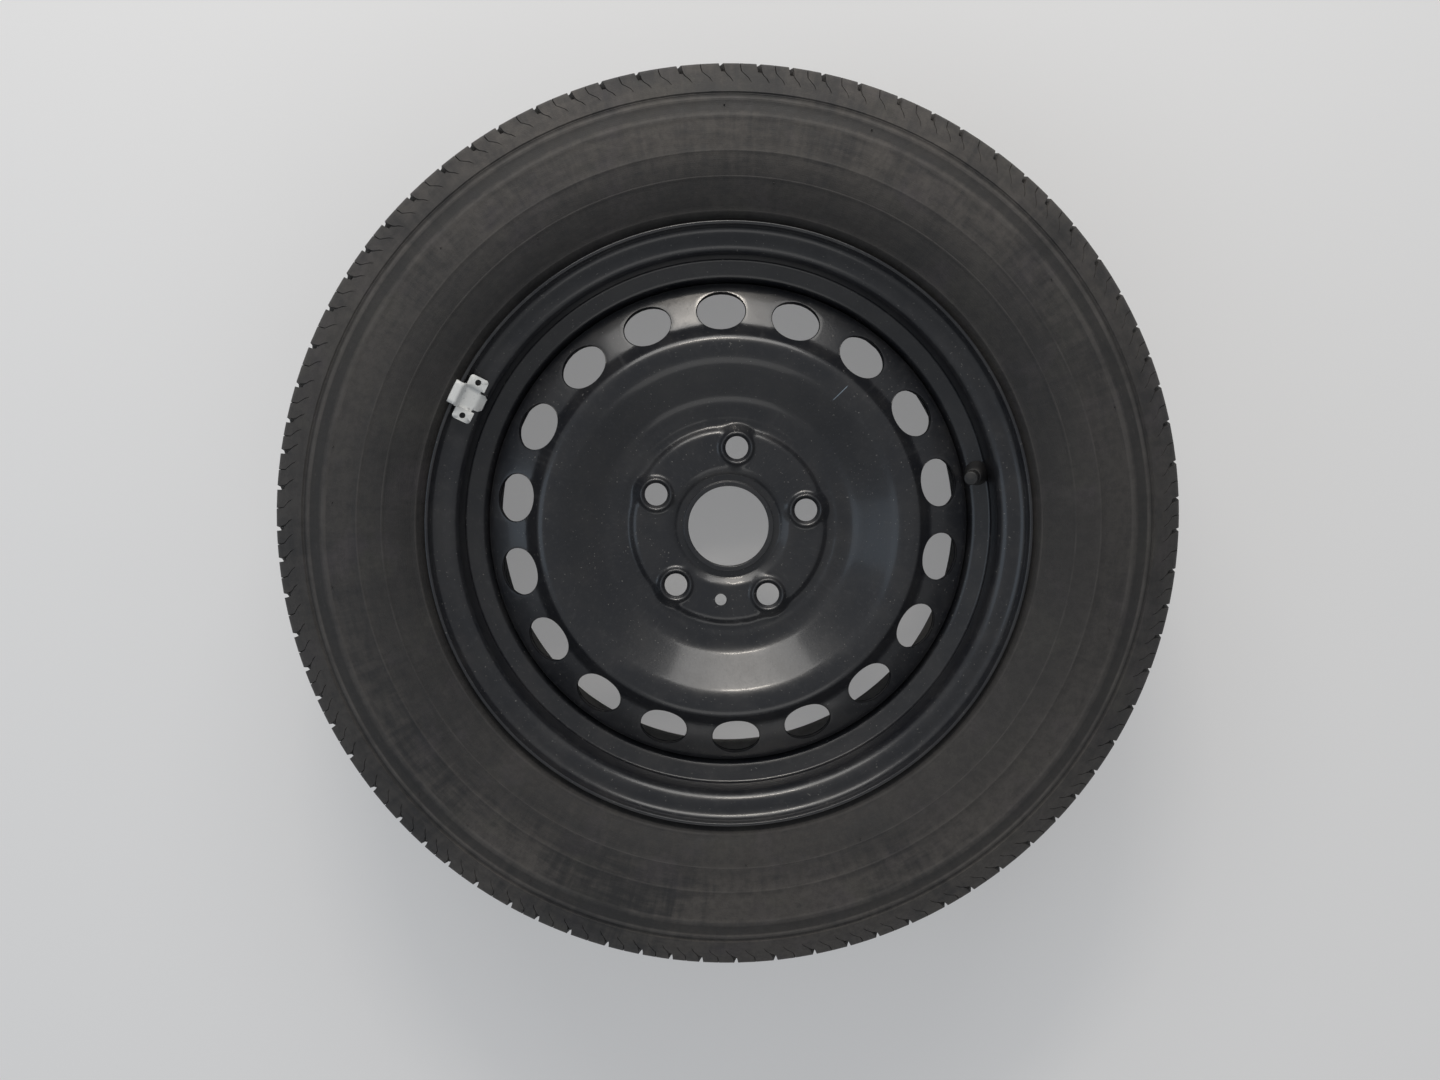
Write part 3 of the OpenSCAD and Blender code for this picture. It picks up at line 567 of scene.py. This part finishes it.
def discSection():
    # The outer face of the disc, from its bore to the end of its flange
    s = discSize
    inner, outer = s["boltR"] - 12, s["boltR"] + 9
    soft = s["sheet"] + 2.5
    skirtR, skirtZ = s["crownR"] + 9.5, s["crownH"] - 10.7
    skirtEnd = skirtZ - (s["flangeR"] - skirtR) * math.tan(math.radians(s["skirtFall"]))
    path = [
        (s["boreR"], s["collarH"], 0), (s["boreR"], 0, s["sheet"] + 0.5), (inner - 6.5, 0, soft),
        (inner, s["plateauH"], 2.5), (outer, s["plateauH"], 2.5), (outer + 5, 0, soft),
        (outer + 11, 0, soft), (outer + 13.6, 1.4, 3), (s["boltR"] + 33, 1.4, 22),
        (s["crownR"] - 10, s["crownH"] - 1.5, 18), (s["crownR"] + 0.5, s["crownH"], soft),
        (skirtR, skirtZ, 14), (s["flangeR"], skirtEnd, 3), (s["flangeR"], -s["flangeDepth"], 0),
    ]
    return [tuple(p) for p in sideOf(path, s["sheet"], 5)]


discFace = discSection()


def heightAt(r):
    # Height of the disc's outer face at a distance from the axle, past the collar
    collarEnd = discSize["boreR"] + discSize["sheet"] + 0.01
    for low, high in zip(discFace, discFace[1:]):
        if low[0] <= r <= high[0] and high[0] - low[0] > 1e-6 and r > collarEnd:
            return low[1] + (high[1] - low[1]) * (r - low[0]) / (high[0] - low[0])
    return discFace[-1][1]


def softMax(a, b, blend):
    # The greater of two heights, with a soft change from one to the other
    near = max(blend - abs(a - b), 0) / blend
    return max(a, b) + near * near * blend / 4


def bossAt(d):
    # Height of a bolt boss at a distance from the bolt's axis: ball seat, crest and foot
    s = discSize
    top = s["plateauH"] + s["sheet"] + s["bossH"]
    half = s["ballW"] / 2
    middle = top + math.sqrt(s["ballR"] ** 2 - half ** 2)
    seat = middle - math.sqrt(max(0, s["ballR"] ** 2 - d * d)) if d < s["ballR"] else top + 9
    slope = top - (d - half - 0.7) / s["bossSlope"]
    return -softMax(-min(seat, slope), -top, 0.5) if d < half + 2 else min(slope, top)


def topOf(x, y):
    # Height of the disc's outer face with its bolt bosses
    r = math.hypot(x, y)
    height = heightAt(r)
    if 34 < r < 82:
        turn = math.tau / discSize["bolts"]
        angle = math.atan2(y, x) - math.radians(discSize["firstBolt"])
        angle -= round(angle / turn) * turn
        d = math.hypot(r * math.cos(angle) - discSize["boltR"], r * math.sin(angle))
        if d < 20:
            boss = bossAt(d)
            height = boss if d < 10.5 else softMax(height, boss, discSize["bossBlend"])
    return height


def patch(bm, columns, rows, place):
    # A grid whose points are put in place by their column and row
    made = bmesh.ops.create_grid(bm, x_segments=columns, y_segments=rows, size=0.5)
    for v in made["verts"]:
        x, y, z = place(round((v.co.x + 0.5) * columns), round((v.co.y + 0.5) * rows))
        v.co = (x * mm, y * mm, z * mm)


def ringPatch(bm, points):
    # A full ring through section points
    def place(i, j):
        angle = math.tau * i / discSize["columns"]
        r, z = points[j]
        return r * math.cos(angle), r * math.sin(angle), z
    patch(bm, discSize["columns"], len(points) - 1, place)


def sectorEdge(middle, half, columns, rows):
    # Points round a sector between the first and last rows, anticlockwise from its inner right corner
    angles = [middle - half + 2 * half * i / columns for i in range(columns + 1)]
    edge = [(r, angles[0]) for r in rows[:-1]] + [(rows[-1], a) for a in angles[:-1]]
    edge += [(r, angles[-1]) for r in reversed(rows[1:])] + [(rows[0], a) for a in reversed(angles[1:])]
    return [(r * math.cos(a), r * math.sin(a)) for r, a in edge]


def holedSector(bm, middle, half, rows, at, radii, rings, shares):
    # A sector with a hole: radii are half its width towards the axle and half its width across
    columns = round(discSize["columns"] * half / math.pi)
    edge = sectorEdge(middle, half, columns, rows)
    cx, cy = at * math.cos(middle), at * math.sin(middle)
    axis = Vector((math.cos(middle), math.sin(middle)))

    def place(i, j):
        ex, ey = edge[i % len(edge)]
        away = Vector((ex - cx, ey - cy))
        unit = away.normalized()
        along = unit.dot(axis)
        across = unit.cross(axis)
        reach = 1 / math.hypot(along / radii[0], across / radii[1])
        if j < len(rings):
            d = reach + rings[j]
        else:
            share = shares[j - len(rings)]
            d = (reach + rings[-1]) * (1 - share) + away.length * share
        x, y = cx + unit.x * d, cy + unit.y * d
        drop = discSize["holeDrop"][j] if j < 3 else 0
        return x, y, topOf(x, y) - drop
    patch(bm, len(edge), len(rings) + len(shares) - 1, place)


def plainSector(bm, middle, half, rows):
    # A sector without a hole
    columns = round(discSize["columns"] * half / math.pi)

    def place(i, j):
        a = middle - half + 2 * half * i / columns
        x, y = rows[j] * math.cos(a), rows[j] * math.sin(a)
        return x, y, topOf(x, y)
    patch(bm, columns, len(rows) - 1, place)


def divided(points, step):
    # The points with more between them, about one step apart
    fine = [points[0]]
    for start, stop in zip(points, points[1:]):
        count = max(1, round((stop[0] - start[0]) / step))
        fine += [tuple(a + (b - a) * k / count for a, b in zip(start, stop)) for k in range(1, count + 1)]
    return fine


def buildDisc():
    s = discSize
    bm = bmesh.new()
    onFace = {r: (r, heightAt(r)) for r in (ringRows[0], ringRows[-1], ventRows[0], ventRows[-1])}
    collar = [p for p in discFace if p[0] < ringRows[0]]
    ringPatch(bm, collar + [onFace[ringRows[0]]])
    bowl = [p for p in discFace if ringRows[-1] < p[0] < ventRows[0]]
    ringPatch(bm, divided([onFace[ringRows[-1]]] + bowl + [onFace[ventRows[0]]], 3))
    flange = [p for p in discFace if p[0] > ventRows[-1]]
    ringPatch(bm, [onFace[ventRows[-1]]] + flange)
    half = math.pi / 2 / s["bolts"]
    boltHole, pinHole = (s["holeR"], s["holeR"]), (s["pinHoleR"], s["pinHoleR"])
    for i in range(2 * s["bolts"]):
        middle = math.radians(s["firstBolt"]) + i * 2 * half
        if i % 2 == 0:
            holedSector(bm, middle, half, ringRows, s["boltR"], boltHole, boltRings, holeShares)
        elif i == s["pinHoleSector"]:
            holedSector(bm, middle, half, ringRows, s["pinHoleAt"], pinHole, pinRings, holeShares)
        else:
            plainSector(bm, middle, half, ringRows)
    half = math.pi / s["vents"]
    vent = (s["ventA"], s["ventB"])
    for i in range(s["vents"]):
        middle = math.radians(s["firstBolt"]) + i * 2 * half
        holedSector(bm, middle, half, ventRows, s["ventAt"], vent, ventRings, ventShares)
    bmesh.ops.remove_doubles(bm, verts=bm.verts, dist=5e-6)
    bmesh.ops.recalc_face_normals(bm, faces=bm.faces)
    top = max(bm.faces, key=lambda face: face.calc_center_median().z)
    if top.normal.z < 0:
        bmesh.ops.reverse_faces(bm, faces=bm.faces)
    made = piece("pressed_disc", bm, "disc_paint", "disc")
    wall = made.modifiers.new("sheet", "SOLIDIFY")
    wall.thickness = s["sheet"] * mm
    wall.offset = -1
    wall.use_even_offset = True
    rounding = made.modifiers.new("edges", "BEVEL")
    rounding.width = s["edgeR"] * mm
    rounding.segments = 2
    rounding.limit_method = "ANGLE"
    rounding.angle_limit = math.radians(60)
    rounding.use_clamp_overlap = False


buildDisc()
print("disc pressed")


# Tyre

tyreSize = {
    "treadR": 317.25, "halfW": 100.5, "widestR": 251.0, "treadHalf": 78.0, "crownR": 600.0,
    "shoulderR": 11.0, "treadT": 16.5, "wallT": 5.5, "grooves": (17.0, 49.0), "grooveW": 10.0,
    "grooveD": 7.6, "toeL": 17.0, "lipGap": 3.0, "lipDip": 4.3, "shoulderDrop": 27.7, "step": 0.9,
    "fall": 0.226, "faceH": 10.4,
    # Raised rings: distance from the axle, width and height
    "rings": (
        (213.8, 1.2, 0.25), (234.2, 1.1, 0.2), (250.4, 1.1, 0.2), (273.4, 3.2, 0.45), (285.1, 2.0, 0.4),
    ),
    # Grooves across the shoulders: kinds of pitch, their widths, floor and way over the tread
    "pitches": (0, 1, 2, 1, 0, 0, 1, 2, 2, 1, 0, 1, 2), "repeats": 6, "growth": 0.13, "rearPhase": 2.6,
    "notchW": 3.2, "notchD": 6.8, "notchWall": 0.3, "notchR": 314.0, "notchEnd": 0.4, "leanR": 312.0,
    "slant": 7.0, "slantFrom": 70.0, "bend": 0.45, "bendFrom": 66.0, "ribHalf": 44.0, "ribLean": 0.298,
    # Sipes: half widths of those on the blocks and on the ribs, depths, length down the block's face
    "sipeHalf": 0.35, "ribSipeHalf": 0.45, "sipeD": 4.2, "edgeSipeD": 2.2, "sipeL": 7.0, "columns": 7,
    # Moulding hairs: their number, distances from the axle, lengths from and to, foot and tip radius
    "hairs": 26, "hairsAt": (267.0, 271.0, 280.0, 231.0), "hairL": (0.9, 1.8), "hairR": (0.55, 0.35),
}
middleZ = rimSize["middleZ"]


def crownAt(s):
    # Distance from the axle of the tread's face, s to the side of its middle
    return tyreSize["treadR"] - tyreSize["crownR"] + math.sqrt(tyreSize["crownR"] ** 2 - s * s)


def bulge(widest, end, step=4.0):
    # The arc that starts square to the axle at the widest point and ends at another point
    r = ((end.x - widest.x) ** 2 + (widest.y - end.y) ** 2) / (2 * (widest.y - end.y))
    middle = widest - Vector((0, r))
    last = math.atan2(end.y - middle.y, end.x - middle.x)
    last += math.tau if last < -math.pi / 2 else 0
    count = max(1, math.ceil(abs(math.degrees(last) - 90) / step))
    angles = [math.pi / 2 + (last - math.pi / 2) * i / count for i in range(count + 1)]
    return [middle + Vector((math.cos(a), math.sin(a))) * r for a in angles]


def wallAt(r, widest, ends):
    # How far out the sidewall stands at a distance from the axle, without its rings
    end = ends[0] if r < widest.x else ends[1]
    bend = ((end.x - widest.x) ** 2 + (widest.y - end.y) ** 2) / (2 * (widest.y - end.y))
    return widest.y - bend + math.sqrt(bend ** 2 - (r - widest.x) ** 2)


def ringed(wall, widest, ends):
    # The sidewall's points with the raised rings let in
    profile = ((-1, 0), (-0.55, 0.8), (0, 1), (0.55, 0.8), (1, 0))
    for at, width, height in tyreSize["rings"]:
        wall = [p for p in wall if abs(p.x - at) > width * 0.7]
        for across, up in profile:
            r = at + across * width / 2
            wall.append(Vector((r, wallAt(r, widest, ends) + up * height)))
    return sorted(wall, key=lambda p: p.x)


def beadFace():
    # From the bead's toe round its heel and up the rim's flange
    t = tyreSize
    rim = [Vector((x, y - middleZ)) for x, y, r in rimPath()[:4]]
    curl = corner(rim[0], rim[1], rim[2], rimSize["curlR"], 0, 10)
    heel = corner(rim[1], rim[2], rim[3], rimSize["heelR"], 0, 10)
    toeR = rim[2].x - t["toeL"] * math.tan(math.radians(rimSize["seatTaper"]))
    toe = Vector((toeR, rim[2].y - t["toeL"]))
    held = round((len(curl) - 1) * 5 / 9)
    return [toe] + heel[::-1] + curl[::-1][:held + 1], rim


def treadFace():
    # From the shoulder to the middle of the tread, with the two grooves that run round it
    t = tyreSize
    half = t["grooveW"] / 2
    tread = [Vector((crownAt(s), s)) for s in (65.0, 60.0)]
    for s, after in ((t["grooves"][1], 33.0), (t["grooves"][0], 0.0)):
        floor = crownAt(s) - t["grooveD"]
        points = (
            (crownAt(s + half), s + half), (floor, s + half - 1.5), (floor, s - half + 1.5),
            (crownAt(s - half), s - half), (crownAt(after), after),
        )
        tread += [Vector(p) for p in points]
    return tread


def tyreHalf():
    # Outer face of the front half, from the bead's toe to the middle of the tread, and the inner face
    t = tyreSize
    bead, rim = beadFace()
    toe = bead[0]
    widest = Vector((t["widestR"], t["halfW"]))
    foot = Vector((rim[0].x + t["lipGap"], rim[0].y - t["lipDip"]))
    stepR = t["treadR"] - t["shoulderDrop"]
    blockFoot = Vector((stepR, t["halfW"] - (stepR - widest.x) * t["fall"]))
    blockEnd = Vector((stepR + t["faceH"], (blockFoot.y + t["treadHalf"]) / 2 + 2.1))
    ends = (foot, blockFoot)
    wall = ringed(bulge(widest, foot)[::-1] + bulge(widest, blockFoot)[1:-1], widest, ends)
    wall = [foot] + [p for p in wall if foot.x < p.x < stepR - 2.0]
    # Two thin lines run round under the blocks, then comes the step: distance past it and height
    lines = ((-1.9, 0), (-1.55, -0.25), (-1.2, 0), (-0.9, 0), (-0.6, -0.25), (-0.3, 0))
    for past, up in (*lines, (0.3, t["step"] * 0.7)):
        wall.append(Vector((stepR + past, wallAt(stepR, widest, ends) - past * t["fall"] + up)))
    slope = blockEnd - wall[-1]
    face = [wall[-1] + slope * k for k in (0.3, 0.34, 0.7, 1.0)]
    edge = Vector((crownAt(t["treadHalf"]), t["treadHalf"]))
    grooveEdge = t["grooves"][1] + t["grooveW"] / 2
    shoulder = corner(blockEnd, edge, Vector((crownAt(grooveEdge), grooveEdge)), t["shoulderR"], 0, 8)
    rise = shoulder[0] - blockEnd
    face += [blockEnd + rise * k for k in (0.3, 0.6)]
    outside = bead + wall + face + shoulder + treadFace()
    innerWidest = widest - Vector((0, t["wallT"]))
    innerCrown = t["treadR"] - t["treadT"]
    upperR = innerCrown - 10.8
    lower = bulge(innerWidest, foot + Vector((4.4, 1.6 - t["wallT"])), 12)[::-1]
    upper = bulge(innerWidest, Vector((upperR, innerWidest.y - (upperR - widest.x) * 0.295)), 12)
    inside = [Vector((toe.x + 1.2, toe.y - 0.8)), Vector((rim[2].x + 10, toe.y + 3.4))] + lower + upper[1:]
    belt = Vector((innerCrown - 1, t["treadHalf"] - 4))
    inside += corner(upper[-1], belt, Vector((innerCrown, t["treadHalf"] / 2)), 14, 0, 20)
    return outside, inside + [Vector((innerCrown, 0))]


def notchAngles():
    # Where the grooves across the shoulder stand, in a sequence of small, middle and large pitches
    t = tyreSize
    sizes = [1 + t["growth"] * (kind - 1) for kind in t["pitches"]]
    turn = math.tau / t["repeats"]
    starts = [turn * sum(sizes[:i]) / sum(sizes) for i in range(len(sizes))]
    return [k * turn + a for k in range(t["repeats"]) for a in starts] + [math.tau]


def cutTread(bm):
    # Seven columns of points to a pitch: a groove with two walls, then a thin sipe
    t = tyreSize
    front = notchAngles()
    phase = math.radians(t["rearPhase"])
    rear = [math.tau - a - phase for a in reversed(front)]
    total = (len(front) - 1) * t["columns"]
    slant = math.tan(math.radians(t["slant"]))
    grooveS, edgeS = t["grooves"][1], t["treadHalf"]
    floorR = crownAt(grooveS) - t["notchD"]
    exitR = crownAt(edgeS) - t["notchD"]
    for v in bm.verts:
        x, y = v.co.x / mm, v.co.y / mm
        s = v.co.z / mm - middleZ
        r = math.hypot(x, y)
        k, m = divmod(round(math.atan2(y, x) % math.tau / math.tau * total) % total, t["columns"])
        side = 1 if s >= 0 else -1
        out = abs(s)
        share = max(0, min(1, (s + t["ribHalf"]) / 2 / t["ribHalf"]))
        here = rear[k] * (1 - share) + front[k] * share
        there = rear[k + 1] * (1 - share) + front[k + 1] * share
        onShoulder = out > t["ribHalf"]
        onFace = onShoulder and r < exitR and out > edgeS
        # Where the column stands beside the groove's middle, and how the groove leans there
        half = t["notchW"] / 2 if onShoulder else t["ribSipeHalf"]
        if onShoulder and r <= exitR - 0.5:
            half = t["notchEnd"]
        middle = (there - here) / 2 * t["notchR"]
        wall, sipe = t["notchWall"], t["sipeHalf"]
        offset = (-half, wall - half, half - wall, half, middle - sipe, middle, middle + sipe)[m]
        if r < t["treadR"] - 40:
            offset *= r / t["notchR"]
        lean = s * t["ribLean"]
        if onShoulder:
            lean = side * ((t["slantFrom"] - out) * slant + max(0, t["bendFrom"] - out) * t["bend"])
        slide = -side * (exitR - max(r, exitR - t["sipeL"])) * 0.9 if onFace else 0
        angle = here + (offset + lean + slide) / t["leanR"]
        # How deep the point goes
        onTop = r > crownAt(min(out, edgeS)) - 4.5 if out < edgeS - 2 else r > exitR
        if m in (1, 2) and onTop and out > grooveS + 1:
            r = min(r, floorR + (exitR - floorR) * min(1, (out - grooveS) / (edgeS - grooveS)))
        elif m in (1, 2, 5) and onTop:
            r -= t["sipeD"] if out < edgeS - 2 else t["edgeSipeD"]
        elif m in (1, 2, 5) and onFace and exitR - t["sipeL"] < r:
            s -= side * 0.8
            r -= 0.5
        v.co = (r * math.cos(angle) * mm, r * math.sin(angle) * mm, (s + middleZ) * mm)


def addHairs(bm):
    # Short moulding hairs on the sidewalls and under the blocks
    t = tyreSize
    low, high = t["hairL"]
    foot, tip = (r * mm for r in t["hairR"])
    for i in range(t["hairs"]):
        angle = math.tau * (i * 0.618 % 1) + 0.1
        r = t["hairsAt"][i % 4]
        s = t["halfW"] - (r - t["widestR"]) ** 2 / 190 - 0.3
        side = 1 if i % 3 else -1
        place = Vector((r * math.cos(angle), r * math.sin(angle), side * s + middleZ)) * mm
        lean = Matrix.Rotation(0.5 * math.sin(i * 2.4), 4, "X")
        if side < 0:
            lean = lean @ Matrix.Rotation(math.pi, 4, "X")
        long = (low + (high - low) * (i * 0.37 % 1)) * mm
        matrix = Matrix.Translation(place) @ lean @ Matrix.Translation((0, 0, long / 2))
        bmesh.ops.create_cone(bm, cap_ends=True, segments=7, radius1=foot, radius2=tip,
                              depth=long, matrix=matrix)


def buildTyre():
    outside, inside = tyreHalf()
    rear = [Vector((p.x, -p.y)) for p in reversed(outside[:-1])]
    back = [Vector((p.x, -p.y)) for p in inside] + inside[-2::-1]
    steps = tyreSize["columns"] * len(tyreSize["pitches"]) * tyreSize["repeats"]
    bm = spun([(p.x, p.y + middleZ) for p in outside + rear + back], steps)
    cutTread(bm)
    addHairs(bm)
    print("tyre faces:", len(bm.faces))
    piece("moulded_tyre", bm, "tyre_rubber", "tyre", sharp=50)


buildTyre()
print("tyre moulded")


# The pieces that keep their CAD shape, with joined and smoothed meshes

kept = {
    "wheel": {
        "weld_seams": "seam_paint", "valve_body": "valve_rubber", "valve_stem": "stem_brass",
        "core_head": "core_brass", "core_barrel": "core_brass", "core_barrel_seal": "seal_rubber",
        "core_spring": "spring_wire", "balance_weight": "weight_coat",
    },
    "pin_group": {"core_pin": "core_brass", "core_cup": "core_brass", "core_cup_seal": "seal_rubber"},
    "cap": {"valve_cap": "cap_plastic"},
}
shaped = {}
for body, slots in kept.items():
    for node, slot in slots.items():
        shaped[node] = piece(node + "_shape", copyOf(node), slot, node, body)


def pressSpring(spring):
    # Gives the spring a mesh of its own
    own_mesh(spring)


pressSpring(shaped["core_spring"])
print("valve, weight and seams finished")
